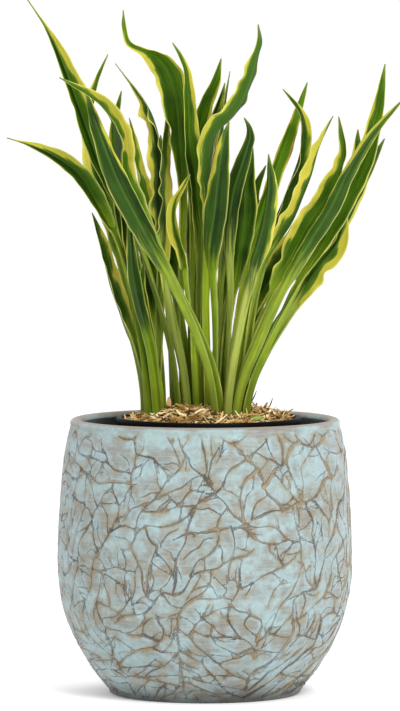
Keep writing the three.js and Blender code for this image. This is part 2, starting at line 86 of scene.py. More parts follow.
def newMaterial(name, sockets):
    # a node tree with only the shader that ends it, whose own sockets hold what is the same all over
    material = bpy.data.materials.new(name)
    material.use_nodes = True
    shader = material.node_tree.nodes["Principled BSDF"]
    for socket, value in sockets.items():
        shader.inputs[socket].default_value = value
    return material, material.node_tree


def plugShader(tree, colour, bump=None):
    shader = tree.nodes["Principled BSDF"]
    tree.links.new(colour.outputs[0], shader.inputs["Base Color"])
    if bump:
        tree.links.new(bump.outputs[0], shader.inputs["Normal"])


def smoothstep(value, low, high):
    share = np.clip((np.asarray(value, float) - low) / (high - low), 0, 1)
    return share * share * (3 - 2 * share)


def unit(vectors):
    return vectors / np.maximum(np.linalg.norm(vectors, axis=-1, keepdims=True), 1e-12)


def splineThrough(points, shares):
    # uniform Catmull-Rom through points, read at shares from 0 to 1
    points = np.asarray(points, float)
    last = len(points) - 1
    place = np.clip(np.asarray(shares, float) * last, 0, last - 1e-9)
    start = place.astype(int)
    t = (place - start)[:, None]
    a, b = points[start], points[start + 1]
    before = np.where((start > 0)[:, None], points[np.maximum(start - 1, 0)], 2 * a - b)
    after = np.where((start + 2 <= last)[:, None], points[np.minimum(start + 2, last)], 2 * b - a)
    return 0.5 * (
        2 * a + (b - before) * t + (2 * before - 5 * a + 4 * b - after) * t ** 2
        + (3 * a - before - 3 * b + after) * t ** 3
    )


def addObject(name, data):
    thing = bpy.data.objects.new(name, data)
    bpy.context.scene.collection.objects.link(thing)
    return thing


def newPiece(name, verts, faces, material, slot, replaced=()):
    mesh = bpy.data.meshes.new(name)
    mesh.from_pydata([tuple(v) for v in verts], [], faces)
    mesh.validate()
    piece = addObject(name, mesh)
    mesh.materials.append(material)
    mesh.polygons.foreach_set("use_smooth", [True] * len(mesh.polygons))
    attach(piece, "root")
    if replaced:
        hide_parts(*replaced)
    return piece


def setAttribute(piece, name, values, kind="FLOAT"):
    # one value, or one vector, for each vertex
    attribute = piece.data.attributes.new(name, kind, "POINT")
    field = "vector" if kind == "FLOAT_VECTOR" else "value"
    attribute.data.foreach_set(field, np.asarray(values, np.float32).ravel())


def ringFaces(rings, around, first=0):
    # four-sided faces between rings of vertices that follow one another from number first
    faces = []
    for low in range(first, first + (rings - 1) * around, around):
        for c in range(around):
            d = (c + 1) % around
            faces.append((low + c, low + d, low + around + d, low + around + c))
    return faces


def turnedGrid(profile, columns):
    # a closed surface of revolution: the profile's ends lie on the axis
    profile = np.asarray(profile, float)
    angles = np.linspace(0, 2 * pi, columns, endpoint=False)
    rings = profile[1:-1]
    verts = [(0, 0, profile[0][1])]
    for radius, z in rings:
        verts += [(radius * cos(a), radius * sin(a), z) for a in angles]
    verts.append((0, 0, profile[-1][1]))
    faces = ringFaces(len(rings), columns, 1)
    top = 1 + (len(rings) - 1) * columns
    for c in range(columns):
        d = (c + 1) % columns
        faces += [(0, 1 + d, 1 + c), (top + c, top + d, len(verts) - 1)]
    return verts, faces


view = {
    "eye": (-0.004, -4.9, 0.587),
    "aim": (-0.004, 0, 0.271),
    "uprightAngle": radians(6.63),
    "sensor": 36,
    "floorSize": 400,
    "floorColour": "#f8f8f8",
    "floorGlow": 0.15,  # keeps the far floor white under the softer sky
    "skyStrength": 0.93,
    "lampAim": (0, 0, 0.25),
    # name, place, size and power: a soft box at the upper right, and one behind that rims the leaves
    "lamps": (("keyLamp", (0.75, -1.8, 1.6), 0.8, 38), ("topLamp", (0.2, 0.8, 1.9), 1.0, 10)),
}


def pointAt(thing, place, aim):
    thing.location = place
    thing.rotation_euler = (Vector(aim) - Vector(place)).to_track_quat("-Z", "Y").to_euler()


def makeCamera():
    camera = addObject("camera", bpy.data.cameras.new("camera"))
    pointAt(camera, view["eye"], view["aim"])
    camera.data.sensor_width = view["sensor"]
    camera.data.lens = view["sensor"] / 2 / tan(view["uprightAngle"] / 2)
    camera.data.clip_start = 0.1
    camera.data.clip_end = 500
    bpy.context.scene.camera = camera


def makeFloor():
    # matt paper backdrop, so nearly white that its far edge isn't seen
    half = view["floorSize"] / 2
    corners = [(-half, -half, 0), (half, -half, 0), (half, half, 0), (-half, half, 0)]
    mesh = bpy.data.meshes.new("floor")
    mesh.from_pydata(corners, [], [(0, 1, 2, 3)])
    mesh.materials.append(newMaterial("paperBackdrop", {
        "Base Color": linear(view["floorColour"]), "Roughness": 0.9, "Specular IOR Level": 0.1,
        "Emission Color": linear("#ffffff"), "Emission Strength": view["floorGlow"],
    })[0])
    floor = addObject("floor", mesh)


def makeLight():
    world = bpy.data.worlds.new("studio")
    bpy.context.scene.world = world
    world.use_nodes = True
    sky = world.node_tree.nodes["Background"]
    sky.inputs["Color"].default_value = linear("#ffffff")
    sky.inputs["Strength"].default_value = view["skyStrength"]
    for name, place, size, power in view["lamps"]:
        lamp = addObject(name, bpy.data.lights.new(name, "AREA"))
        pointAt(lamp, place, view["lampAim"])
        lamp.data.size = size
        lamp.data.energy = power
    bpy.context.scene.view_settings.view_transform = "Standard"


makeCamera()
makeFloor()
makeLight()
print("stage done")


pot = {
    "columns": 520,
    "outsideRows": 160,
    "lipRows": 10,
    "wall": 9 * mm,
    "floor": 10 * mm,
    "foot": 0.63,  # share of the half width
    "rimInset": 10.5 * mm,  # from the belly to the middle of the rim
    # millimetres out from the foot, or from the belly, and the height there
    "footCurve": ((3, 3), (17, 21)),
    "bellyCurve": ((-12, 47), (-2, 80), (0, 115), (-2, 156), (-5.5, 192)),
    "unevenness": 0.8 * mm,
    "grooveDepth": 1.2 * mm,
    "grooveSide": 1.2 * mm,  # how far a groove's sides slope
    "overlap": 0.5 * mm,  # one side of a line stands this much over the other, as petals overlap
    # clear space, tries, reach, and thin and thick half widths of the main, the middle and the finest lines
    "carving": ((10 * mm, 800, 80 * mm, 0.5 * mm, 1.15 * mm), (6 * mm, 1800, 40 * mm, 0.35 * mm, 0.7 * mm),
                (3.6 * mm, 1500, 13 * mm, 0.25 * mm, 0.45 * mm)),
    "cell": 1 * mm,  # of the map of what is already carved
    "step": 0.6 * mm,  # between a line's points
    "bend": 1.25,  # radians that a line strays
    "bendSize": 19 * mm,
    "swirlSize": 70 * mm,  # the patches in which the grain leans to one side
    "footLean": 1.4,  # radians that the grain lies over near the foot
    "upright": (42 * mm, 82 * mm),  # heights between which the grain rises from there
    "loosened": (35 * mm, 80 * mm),  # and between which the lines come to stray in full
    "twigGap": 34 * mm,
    "twigLengths": (6, 20),  # in millimetres, as are their half widths
    "twigWidths": (0.3, 0.6),
    "veinTop": 217 * mm,  # the band above stays plain
    "engobe": ("#90a3a4", "#7c776e"),  # whole, and rubbed through
    "lip": ("#94acb1", "#85795f"),  # lighter as a painted highlight, and stained; both lie beside the lines
    "ochre": ("#7d6543", "#a18a62"),
    # dark clay in the lines, also used as painted shade on one side of each line
    "lineClayAndShade": "#493f36",
    "pit": "#3d3833",
    "rim": "#857b70",
    # darker towards the foot
    "darkerFoot": "#2b2622",
    # painted shade: the hollow is painted near black, for the shade inside the pot
    "inside": "#0d0a08",
}


def potProfile():
    # outside, lip and hollow, as radius and height, from the frame's box
    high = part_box("ceramic_pot")[1]
    belly, tall = high.x, high.z
    rim = belly - pot["rimInset"]
    foot = belly * pot["foot"]
    reach = pot["wall"] / 2
    curve = [(foot + out * mm, up * mm) for out, up in pot["footCurve"]]
    curve += [(belly + out * mm, up * mm) for out, up in pot["bellyCurve"]]
    outside = splineThrough(curve + [(rim, tall - reach)], np.linspace(0, 1, pot["outsideRows"]))
    lip = []
    for angle in np.linspace(0, pi, pot["lipRows"] + 2)[1:-1]:
        lip.append((rim - reach * (1 - cos(angle)), tall - reach * (1 - sin(angle))))
    hollow = [(r - pot["wall"], z) for r, z in outside[::-12] if z > pot["floor"] + 4 * mm]
    hollow.insert(1, (hollow[0][0], hollow[0][1] - 3 * mm))
    base = [(0, 0), (foot * 0.5, 0), (foot - 1.5 * mm, 0), (foot, 0.6 * mm), (foot + 1.6 * mm, 1.6 * mm)]
    inner = [(foot - 2 * mm, pot["floor"]), (foot * 0.5, pot["floor"]), (0, pot["floor"])]
    profile = base + [tuple(p) for p in outside] + lip + hollow + inner
    return profile, len(base), len(base) + len(outside)


def softNoise(points, size, seed):
    # smooth noise from 0 to 1 at points in metres, with lumps of about this size
    drift = Vector((seed, 1.7 * seed, -seed))
    return np.clip([0.5 + 0.75 * noise.noise(Vector(p) / size + drift) for p in points], 0, 1)


def carvedLines(dice, around):
    # the carver's lines on the unrolled wall, placed by s around it and z up it: they lean to either side,
    # bend as they go and stop where they meet another, so they branch like veins; each is its points, half
    # widths and tint
    cell, step, top = pot["cell"], pot["step"], pot["veinTop"]
    taken = np.zeros((int(around / cell) + 1, int(top / cell) + 1), bool)
    lines = []

    def cellOf(point):
        return int(point[0] / cell) % len(taken), int(point[1] / cell)

    def nearby(point, span):
        c, r = cellOf(point)
        columns = taken.take(range(c - span, c + span + 1), axis=0, mode="wrap")
        return columns[:, max(r - span, 0):r + span + 1]

    def grow(start, lean, turn, length):
        # walks along the grain, which stands upright on the wall and lies level near the foot
        points, met = [np.array(start)], False
        sway = dice.uniform(0, 100)
        for i in range(int(length / step)):
            s, z = points[-1]
            side = 1 if noise.noise(Vector((s / pot["swirlSize"], 0, 5))) > 0 else -1
            grain = pi / 2 - side * pot["footLean"] * (1 - float(smoothstep(z, *pot["upright"])))
            wave = noise.noise(Vector((s / pot["bendSize"], z / pot["bendSize"], sway)))
            loose = 0.4 + 0.6 * float(smoothstep(z, *pot["loosened"]))
            heading = grain + (lean + pot["bend"] * wave) * loose + turn
            point = points[-1] + step * np.array([cos(heading), sin(heading)])
            if not 2 * step <= point[1] < top - 2 * step:
                break
            points.append(point)
            if i > 3 and nearby(point, 1).any():
                # runs the last step or two into the line that it meets
                points += [points[-1] + (points[-1] - points[-2]) * k for k in (1, 2)]
                met = True
                break
        return points, met

    def keep(points, half, tint):
        for point in points:
            taken[cellOf(point)] = True
        lines.append((np.array(points), half, tint))

    def ends(count, met):
        # a free end runs out to nothing, an end that meets a line spreads a little
        t = np.arange(count) * step
        if met:
            return 1 + 0.8 * np.exp(-t / (1.4 * mm))
        return np.clip(0.12 + t / (9 * mm), 0, 1) ** 0.7

    for clear, tries, reach, thin, thick in pot["carving"]:
        for _ in range(tries):
            s, z = dice.uniform(0, around), dice.uniform(2 * mm, top - 1 * mm)
            room = clear * (0.6 + 0.4 * min(1, z / pot["loosened"][1]))  # closer together near the foot
            if nearby((s, z), int(room / cell)).any():
                continue
            lean = dice.choice((-1, 1))
            lean *= dice.uniform(0.1, 0.8) if dice.random() < 0.66 else dice.uniform(0.8, 1.5)
            up, metUp = grow((s, z), lean, 0, reach * dice.uniform(0.6, 1.2))
            down, metDown = grow((s, z), lean, pi, reach * dice.uniform(0.6, 1.2))
            points = down[:0:-1] + up
            if len(points) < 9:
                continue
            bulk = thin + (thick - thin) * dice.random()
            along = np.arange(len(points)) * step
            vary = 0.8 + 0.35 * np.sin(along / (dice.uniform(4, 9) * mm) + dice.uniform(0, 6))
            half = bulk * vary * ends(len(points), metDown) * ends(len(points), metUp)[::-1]
            keep(points, half, dice.gauss(0.15 + 0.45 * bulk / mm, 0.2))
    for points, half, tint in list(lines):
        for _ in range(int(len(points) * step / pot["twigGap"] + dice.random())):
            start = dice.randrange(1, len(points) - 1)
            ahead = points[start + 1] - points[start - 1]
            bearing = atan2(ahead[1], ahead[0]) + dice.choice((-1, 1)) * dice.uniform(0.3, 0.9)
            bearing += pi * (dice.random() < 0.5)
            length = dice.uniform(*pot["twigLengths"]) * mm
            twig = [points[start]]
            turn = dice.gauss(0, 0.5)
            for i in range(int(length / step)):
                heading = bearing + turn * i * step / length
                point = twig[-1] + step * np.array([cos(heading), sin(heading)])
                if not 0 <= point[1] < top:
                    break
                twig.append(point)
                if i > 4 and taken[cellOf(point)]:
                    break
            if len(twig) > 6:
                taper = np.linspace(1, 0.25, len(twig))
                keep(twig, dice.uniform(*pot["twigWidths"]) * mm * taper, tint - 0.2)
    return lines


def carvePot(verts, normals, radiusAt):
    # presses the lines into the outside; gives each vertex how far across the nearest line it is, signed by
    # side so that even a hair line stays sharp between vertices, and that line's half width and tint
    dice = random.Random(5)
    around = 2 * pi * float(max(radiusAt[1]))

    def onPot(points):
        angle = points[:, 0] / around * 2 * pi + pi / 2
        radius = np.interp(points[:, 1], radiusAt[0], radiusAt[1])
        return np.stack([radius * np.cos(angle), radius * np.sin(angle), points[:, 1]], axis=1)

    lines = carvedLines(dice, around)
    walls = [onPot(points) for points, half, tint in lines]
    places = np.concatenate(walls)
    halves = np.concatenate([half for points, half, tint in lines])
    tints = np.concatenate([np.full(len(points), tint) for points, half, tint in lines])
    tints = np.clip(tints + 0.9 * (softNoise(places, 22 * mm, 3.1) - 0.5), 0, 1)
    fade = 1 - smoothstep(places[:, 2], pot["veinTop"] - 6 * mm, pot["veinTop"] + 3 * mm)
    halves = halves * fade - 1.5 * mm * (1 - fade)
    outward = unit(places * (1, 1, 0))
    beside = np.cross(outward, np.concatenate([np.gradient(wall, axis=0) for wall in walls]))
    finder = KDTree(len(places))
    for number, place in enumerate(places):
        finder.insert(place, number)
    finder.balance()
    found = [min((gap - halves[k], k) for _, k, gap in finder.find_n(vert, 7)) for vert in verts]
    away, nearest = np.array(found).T
    nearest = nearest.astype(int)
    half = halves[nearest]
    side = np.sign(np.sum((verts - places[nearest]) * beside[nearest], axis=1))
    uneven = pot["unevenness"] * softNoise(verts, 26 * mm, 8.3)
    groove = 1 - smoothstep(away, -pot["grooveSide"], 0.5 * pot["grooveSide"])
    step = side * np.exp(-np.maximum(away, 0) / (4 * mm)) * smoothstep(half, 0.2 * mm, 0.8 * mm)
    depth = pot["grooveDepth"] * groove + uneven + pot["overlap"] * (1 + step)
    fields = {"veinAway": away / mm, "veinSide": side * (away + half) / mm, "veinHalf": half / mm,
              "veinTint": tints[nearest]}
    return verts - normals * depth[:, None], fields


def engobeMaterial():
    # earthenware under a matt blue-grey engobe, rubbed back in level strokes: dry and chalky, with bare
    # ochre and brown clay in the carved lines; chalk catches light at the pot's sides as a faint sheen
    material, tree = newMaterial("rubbedEngobe", {
        "Roughness": 0.75, "Specular IOR Level": 0.3, "Sheen Weight": 0.25,
    })
    place = addNode(tree, "Attribute", attribute_name="potPlace").outputs["Vector"]
    height = addNode(tree, "SeparateXYZ", {0: place}).outputs["Z"]
    outside, away, side, half, tint = (
        addNode(tree, "Attribute", attribute_name=field).outputs["Fac"]
        for field in ("potOutside", "veinAway", "veinSide", "veinHalf", "veinTint"))

    # each noise's size in mm, detail, roughness, and how many times wider than high its lumps are
    noises = {"rubbed": (32, 6, 0.6, 1.6), "strokes": (22, 3, 0.5, 20), "stains": (12, 2, 0.5, 1),
              "mottle": (5, 5, 0.6, 1), "ragged": (2.5, 3, 0.5, 1), "chalk": (1.6, 4, 0.5, 1)}
    for name, (size, detail, rough, flat) in noises.items():
        spread = addNode(tree, "VectorMath", {0: place, 1: (1, 1, flat)}, operation="MULTIPLY")
        noises[name] = addNode(tree, "TexNoise", {
            "Vector": spread, "Scale": 1 / size, "Detail": detail, "Roughness": rough,
        })
    rubbed, strokes, stains, mottle, ragged, chalk = noises.values()
    pits = addNode(tree, "TexVoronoi", {"Vector": place, "Scale": 1 / 8})

    # a line's edge is ragged, and its ochre lies on the lower side; its other side is painted shade, dark
    # clay standing for the shadow in the groove
    fromMiddle = addNode(tree, "Math", {0: side}, operation="ABSOLUTE")
    beyond = addNode(tree, "Math", {0: fromMiddle, 1: half}, operation="SUBTRACT")
    edge = addNode(tree, "Math", {0: ragged, 1: 0.9, 2: beyond}, operation="MULTIPLY_ADD")
    lower = addNode(tree, "Math", {0: side, 1: 0.8, 2: edge}, operation="MULTIPLY_ADD")
    worn = addNode(tree, "Math", {0: rubbed, 1: 2.5, 2: height}, operation="MULTIPLY_ADD")
    raggedHeight = addNode(tree, "Math", {0: rubbed, 1: -16, 2: height}, operation="MULTIPLY_ADD")

    # what each mask reads, from and to which value, and its strength at either end; lengths are in mm
    masks = {
        "thin": (rubbed, 0.42, 0.55, 0, 1),
        "stroke": (strokes, 0.35, 0.68, 0.45, 1),
        "lip": (away, 0.4, 4.5, 0.7, 0),  # painted highlight: the engobe is painted lightest beside the lines, for light on their raised lips
        "darkMark": (stains, 0.42, 0.6, 0, 1),
        "across": (edge, 0.2, 0.8, 0.85, 0),
        "close": (away, 0.7, 1.2, 1, 0),
        "filled": (rubbed, 0.36, 0.5, 0.55, 1),  # thick engobe fills the lines in part
        "middle": (lower, -0.4, 0.6, 1, 0),
        "warm": (tint, 0.15, 0.65, 0, 1),
        "pit": (pits, 0.05, 0.08, 0.75, 0),
        "rim": (worn, 219.8, 221.4, 0, 0.9),
        # darker towards the foot, up to a ragged height
        "darkerFoot": (raggedHeight, -7, 7, 0.9, 0),
    }
    for name, values in masks.items():
        masks[name] = addNode(tree, "MapRange", dict(enumerate(values)))
    wear = addNode(tree, "Math", {0: masks["thin"], 1: masks["stroke"]}, operation="MULTIPLY")
    inLine = masks["across"]
    for name in ("close", "filled"):
        inLine = addNode(tree, "Math", {0: inLine, 1: masks[name]}, operation="MULTIPLY")
    ochreAwayFromShade = addNode(tree, "Math", {0: masks["warm"], 1: masks["middle"]}, operation="MULTIPLY")

    body, lip, ochre = (
        addNode(tree, "MixRGB", {"Fac": share, "Color1": linear(tints[0]), "Color2": linear(tints[1])})
        for share, tints in ((wear, pot["engobe"]), (masks["darkMark"], pot["lip"]), (ragged, pot["ochre"])))
    # painted highlight: lighter engobe beside the lines
    colour = addNode(tree, "MixRGB", {"Fac": masks["lip"], "Color1": body, "Color2": lip})
    colour = addNode(tree, "MixRGB", {"Fac": 0.3, "Color1": colour, "Color2": mottle}, blend_type="OVERLAY")
    # painted shade: where the ochre is off, one side of each line takes the dark clay as the groove's
    # shadow
    clay = addNode(tree, "MixRGB", {"Fac": ochreAwayFromShade, "Color1": linear(pot["lineClayAndShade"]), "Color2": ochre})
    colour = addNode(tree, "MixRGB", {"Fac": inLine, "Color1": colour, "Color2": clay})
    for name in ("pit", "rim", "darkerFoot"):
        darkMark = linear(pot[name])
        colour = addNode(tree, "MixRGB", {"Fac": masks[name], "Color1": colour, "Color2": darkMark})
    # painted shade: inside the pot, off the engobe, the surface is near black
    colour = addNode(tree, "MixRGB", {"Fac": outside, "Color1": linear(pot["inside"]), "Color2": colour})

    tooled = addNode(tree, "Math", {0: strokes, 1: 0.35, 2: chalk}, operation="MULTIPLY_ADD")
    relief = addNode(tree, "Math", {0: inLine, 1: -1.8, 2: tooled}, operation="MULTIPLY_ADD")
    bump = addNode(tree, "Bump", {"Height": relief, "Strength": 0.75, "Distance": 0.7 * mm})
    plugShader(tree, colour, bump)
    return material


def makePot():
    profile, first, last = potProfile()
    columns = pot["columns"]
    verts, faces = turnedGrid(profile, columns)
    verts = np.array(verts)
    place = verts / mm
    rows = np.array(profile)[first:last]
    slope = unit(np.gradient(rows, axis=0))
    outward = np.stack([slope[:, 1], -slope[:, 0]], axis=1)
    begin, end = 1 + (first - 1) * columns, 1 + (last - 1) * columns
    radial = unit(verts[begin:end] * (1, 1, 0))
    turned = np.repeat(outward, columns, axis=0)
    normals = radial * turned[:, :1] + np.array([0, 0, 1.0]) * turned[:, 1:]
    verts[begin:end], fields = carvePot(verts[begin:end], normals, (rows[:, 1], rows[:, 0]))
    outside = np.zeros(len(verts))
    outside[:end + pot["lipRows"] * columns] = 1  # the engobe runs over the lip
    piece = newPiece("glazedPot", verts, faces, engobeMaterial(), "ceramic", ["ceramic_pot"])
    setAttribute(piece, "potPlace", place, "FLOAT_VECTOR")
    setAttribute(piece, "potOutside", outside)
    for name, field in fields.items():
        plain = np.full(len(verts), 9.0 if name in ("veinAway", "veinSide") else 0.0)
        plain[begin:end] = field
        setAttribute(piece, name, plain)


makePot()
print("pot done")


leaf = {
    "stations": 96,
    "across": 20,
    "easeBelow": 290 * mm,  # the stalks' bends are eased below this height
    "easeOver": 40 * mm,
    "easePasses": 14,
    "stalkRings": 5,  # rings of the frame's leaf below its blade
    "ribHalfThickness": 0.6 * mm,
    "edgeHalfThickness": 0.22 * mm,
    "stalkHalfThickness": 1.3 * mm,
    "thinning": 0.55,  # share of its thickness that a leaf loses towards its margins and its tip
    "ribWidth": 1.3 * mm,
    "ribHeight": 0.75 * mm,  # below the blade
    "channel": 1.35,  # 1 is a sharp fold, 2 is a round trough
    "deepen": 0.8,  # share by which the blade's fold is deeper than the frame's
    "flare": 0.35,  # how far a yellow margin bends up, as a share of its width
    "ruffleHeight": 1.8 * mm,
    "ruffleLength": 20 * mm,
    "lobeReach": 1.4 * mm,
    "lobeLength": 27 * mm,
    "liveliest": 7 * mm,  # half width from which a blade ruffles in full
    "comesAlive": (0.02, 0.22),  # shares of the blade between which its ruffle grows
    "calmsDown": (0.84, 1),  # and between which it fades
    # to draw from for the leaves that leafLooks leaves open
    "margins": ((0, 0.1, 0.4, 0.4, 0), (0.2, 1.4, 2.6, 1.6, 0.4)),
    "tones": (0.25, 0.6),
    "pallors": (0, 0, 0.2, 0.55),
}

# widths in mm of the yellow margins as seen from the front, at even steps from the blade's foot to its tip;
# ruffle is how wavy they are, tone runs from dark to light, dry marks a scorched margin, slim narrows the
# blade, tail widens its end, and pallor is how pale the stalk is; a leaf's name stands without its "leaf_"
narrow = (0, 0.1, 0.3, 0.4, 0.1)
leafLooks = {
    "tall_left": {"left": narrow, "right": (0, 0.2, 1.2, 3.6, 3.2, 1), "tone": 0.3},
    "front_left": {"left": narrow, "right": (0, 0, 0, 0.2, 3, 3.4, 1), "tone": 0.35, "slim": 0.82},
    "arched_left": {"left": narrow, "right": (0, 0.3, 0.8, 3.4, 3.6, 2.4, 1), "tone": 0.5, "slim": 0.85},
    "behind_arch": {"left": (0.4, 1, 2, 2.4, 1.5), "right": (0.4, 1.8, 3, 2.4, 1), "ruffle": 1.2},
    "wavy_left": {"left": (0.3, 1.2, 2.2, 2.4, 1.8, 0.8), "right": narrow, "ruffle": 1.7,
                  "tone": 0.35, "pallor": 0.65},
    "curled_top": {"left": (0, 0, 0.3, 1.6, 4.2, 1.6, 0.8), "right": (0, 0.3, 1.6, 3, 2, 1, 0.6),
                   "tone": 0.5, "ruffle": 1.2, "tail": 1.6},
    "small_curl": {"left": (0.4, 2, 3.5, 3, 1), "right": (0.4, 1, 2, 2, 1), "ruffle": 1},
    "center_tall": {"left": narrow, "right": (0, 0.2, 1.5, 2.5, 0.6)},
    "center_slim": {"left": narrow, "right": (0.5, 2.4, 3, 2, 0.8), "tone": 0.25, "dry": 1},
    "center_back": {"left": (0.3, 1, 1.6, 0.8, 0.3), "right": (0.3, 2.4, 3.4, 1.8, 0.4), "tone": 0.55,
                    "ruffle": 0.9},
    "center_right": {"left": (0.5, 2, 2.6, 1.4, 0.4), "right": narrow},
    "arching_right": {"left": (0.5, 1.4, 2.6, 1.2, 0.5), "right": (0.5, 2, 3, 0.9, 0.3), "tone": 0.8,
                      "ruffle": 1.3},
    "front_center": {"left": (0, 0, 0.3, 3.4, 4.6, 1.5), "right": narrow, "tone": 0.4},
    "low_left": {"left": narrow, "right": (0, 0.2, 0.6, 3.2, 2.6, 1), "tone": 0.3},
    "left_behind": {"left": (0.5, 1.5, 3.4, 1.5, 0.8), "right": narrow},
    "left_outer": {"left": narrow, "right": (0.4, 1.5, 3, 2, 0.8), "tone": 0.3},
    "left_upright": {"left": narrow, "right": (0.4, 2.6, 3.2, 2, 0.8)},
    "broad_right": {"left": narrow, "right": (0, 0, 0.6, 0.8, 0.2), "tone": 0.2},
    "front_right": {"left": narrow, "right": (0, 0.3, 1.8, 1.2, 0.2), "tone": 0.35, "pallor": 0.85},
    "upright_right": {"left": (0, 0.5, 2.2, 2.4, 0.4), "right": (0, 0.3, 1.2, 0.8, 0), "tone": 0.9,
                      "dry": 1},
    "crossing_right": {"left": narrow, "right": (0, 0.3, 0.8, 1.6, 2, 0.6), "tone": 0.3},
    "narrow_right": {"left": (0.2, 1, 2.6, 3.6, 3, 2), "right": (0.4, 0.5, 0.8, 2.5, 2.5, 1),
                     "ruffle": 1.3},
    "right_upper": {"left": (0.4, 1.8, 3, 2.6, 1.8, 1), "right": narrow, "ruffle": 1.7},
    "right_long": {"left": (0, 0, 0.3, 2.4, 4.2, 3), "right": (0, 0, 0, 0.8, 1.6), "tone": 0.5,
                   "slim": 0.85, "pallor": 0.2},
    "right_tall": {"left": (0, 0.2, 0.8, 2.2, 1.4), "right": narrow, "tone": 0.3},
    "right_low": {"left": (0.4, 0.8, 2, 1.5, 1), "right": (0.5, 3.4, 5, 4, 2), "ruffle": 1.4},
    "right_behind": {"left": (0.5, 2.4, 3, 2.4, 1), "right": narrow, "ruffle": 1},
}


def leafLines(node):
    # left margin, rib and right margin of a frame leaf, ring by ring from root to tip
    bm = bmesh.new()
    bm.from_mesh(node.data)
    bmesh.ops.remove_doubles(bm, verts=bm.verts, dist=0.001 * mm)
    ring = sorted(bm.verts, key=lambda v: v.co.z)[:6]
    seen = set()
    side = None
    lines = []
    while ring:
        corners = [v.co.copy() for v in ring]
        if side is None:
            side = max((b - a for a in corners for b in corners), key=lambda d: d.length).normalized()
        corners.sort(key=side.dot)
        left, rib, right = [(corners[i] + corners[i + 1]) / 2 for i in (0, 2, 4)]
        side = (right - left).normalized()
        lines.append([left, rib, right])
        seen.update(ring)
        ring = list({edge.other_vert(v) for v in ring for edge in v.link_edges} - seen)
    bm.free()
    return np.array(lines)


def wobble(length, wave, dice):
    # an uneven wave from -1 to 1 along a length
    total = 0
    for stretch, share in ((1.0, 0.5), (0.62, 0.3), (1.7, 0.35)):
        phase = dice.uniform(0, 2 * pi)
        total = total + share * np.sin(2 * pi * length / (wave * stretch) + phase)
    return np.clip(total, -1, 1)


def leafAxes(name, look):
    # margins and rib at each station, with the stalk's bends eased and the blade slimmed, which way is
    # right and up there, the share of the blade and the length so far
    lines = leafLines(cadNodes[name])
    shares = np.linspace(0, 1, leaf["stations"])
    left, rib, right = (splineThrough(lines[:, i], shares) for i in range(3))
    eased = rib.copy()
    for _ in range(leaf["easePasses"]):
        eased[1:-1] = (eased[:-2] + 2 * eased[1:-1] + eased[2:]) / 4
    low = np.clip((leaf["easeBelow"] - rib[:, 2]) / leaf["easeOver"], 0, 1)[:, None]
    eased = (eased - rib) * low
    left, rib, right = left + eased, rib + eased, right + eased
    rings = len(lines) - 1
    blade = np.clip((shares * rings - leaf["stalkRings"]) / (rings - leaf["stalkRings"]), 0, 1)
    steps = np.linalg.norm(np.diff(rib, axis=0), axis=1)
    length = np.r_[0, np.cumsum(steps)]
    travel = length / length[-1]
    broad = 1 - (1 - look["slim"]) * smoothstep(blade, 0, 0.2)
    broad += look["tail"] * smoothstep(travel, 0.88, 0.93) * (1 - smoothstep(travel, 0.97, 1))
    left, right = rib + (left - rib) * broad[:, None], rib + (right - rib) * broad[:, None]
    along = unit(np.gradient(rib, axis=0))
    side = unit(right - left)
    up = unit(np.cross(side, along))
    if np.mean(np.sum(((left + right) / 2 - rib) * up, axis=1)[:8]) < 0:
        left, right, side, up = right, left, -side, -up  # so that the stalk's channel opens upwards
    return left, rib, right, side, up, blade, length


